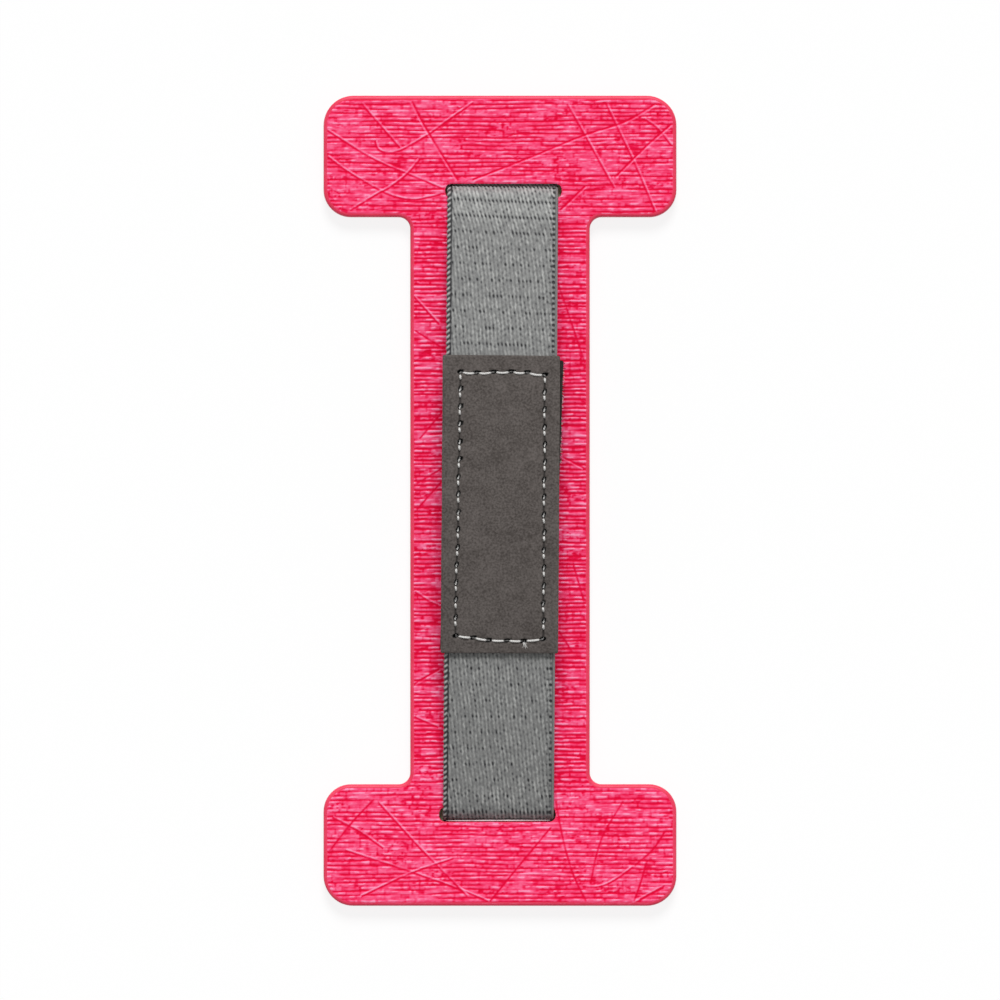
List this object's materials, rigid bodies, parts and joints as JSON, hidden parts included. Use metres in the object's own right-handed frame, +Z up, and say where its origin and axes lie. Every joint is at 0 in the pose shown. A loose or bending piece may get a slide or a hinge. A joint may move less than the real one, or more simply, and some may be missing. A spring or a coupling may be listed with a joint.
{
  "type": "tablet hand strap",
  "caption": "Stick-on I-shaped back panel with an elastic band across its front and a stitched grip patch, for holding a tablet in one hand.",
  "frame": {"origin": "middle of the panel's footprint, at the underside that lies on the surface", "axes": "+Y along the panel's length, +X across it, +Z up out of the panel's front"},
  "size_m": [0.0706, 0.162, 0.0135],
  "materials": {
    "cover": "embossed artificial leather, satin",
    "board": "raw fibre board",
    "backing": "pale yellow-green fibre sheet",
    "adhesive": "tacky film",
    "liner": "siliconed paper",
    "webbing": "woven elastic",
    "patch": "suede-like, matte",
    "thread": "twisted polyester"
  },
  "bodies": {
    "root": {"front_cover": "cover", "core_board": "board", "back_sheet": "backing", "adhesive_sheet": "adhesive", "release_liner": "liner", "elastic_band": "webbing", "grip_patch_front": "patch", "grip_patch_back": "patch", "needle_thread": "thread", "bobbin_thread": "thread"}
  },
  "joints": []
}
